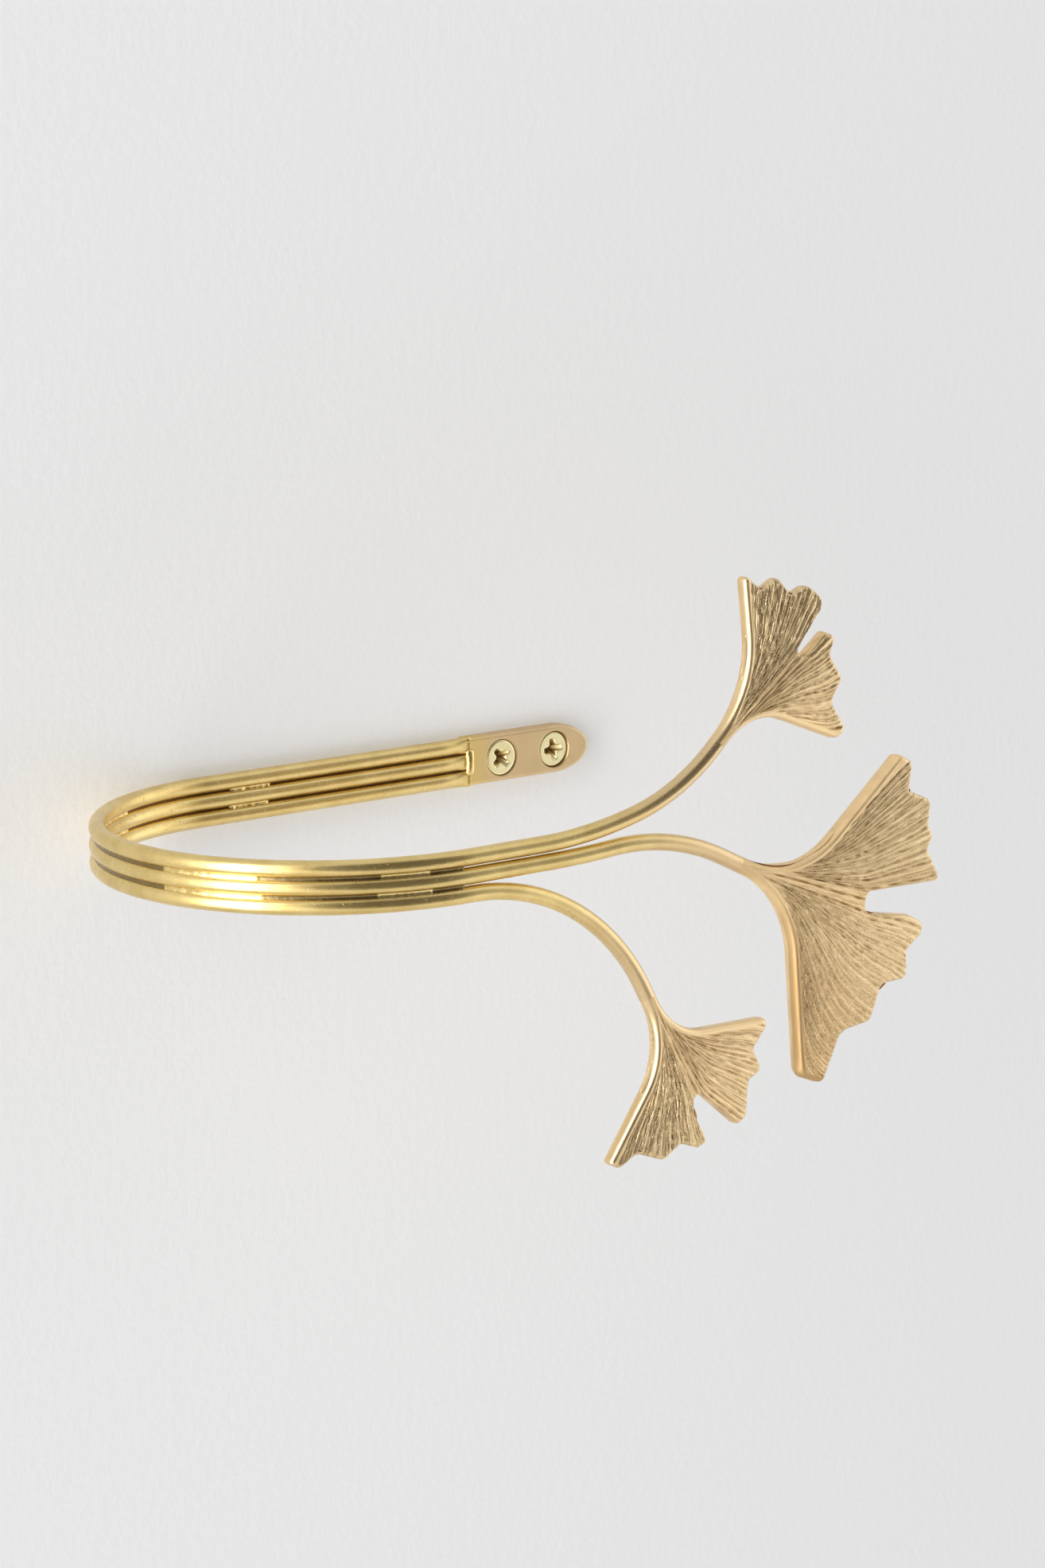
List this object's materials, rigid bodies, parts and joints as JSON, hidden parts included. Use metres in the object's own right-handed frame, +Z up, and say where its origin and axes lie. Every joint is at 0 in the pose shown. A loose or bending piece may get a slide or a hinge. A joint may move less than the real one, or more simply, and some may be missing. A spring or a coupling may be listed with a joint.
{
  "type": "curtain tieback",
  "caption": "Wall-mounted brass curtain tieback: brazed round rods bend into an open hook round the curtain and splay into stems with fan-shaped leaves.",
  "frame": {"origin": "on the wall, in the middle of the plate's back face, midway between the two screws", "axes": "+Z up; +Y into the wall, so the room is at -Y; +X along the wall, from the bend towards the leaves"},
  "size_m": [0.173, 0.1206, 0.1183],
  "materials": {
    "rods": "satin, drawn along the rod",
    "plate": "matte, blasted",
    "leaves": "satin antique, veined, with polished edges",
    "screws": "polished",
    "braze": "bright, as flowed"
  },
  "bodies": {
    "root": {"wall_plate": "plate", "wall_screws": "screws", "top_rod": "rods", "middle_rod": "rods", "bottom_rod": "rods", "braze": "braze", "top_leaf": "leaves", "middle_leaf": "leaves", "bottom_leaf": "leaves"}
  },
  "joints": []
}
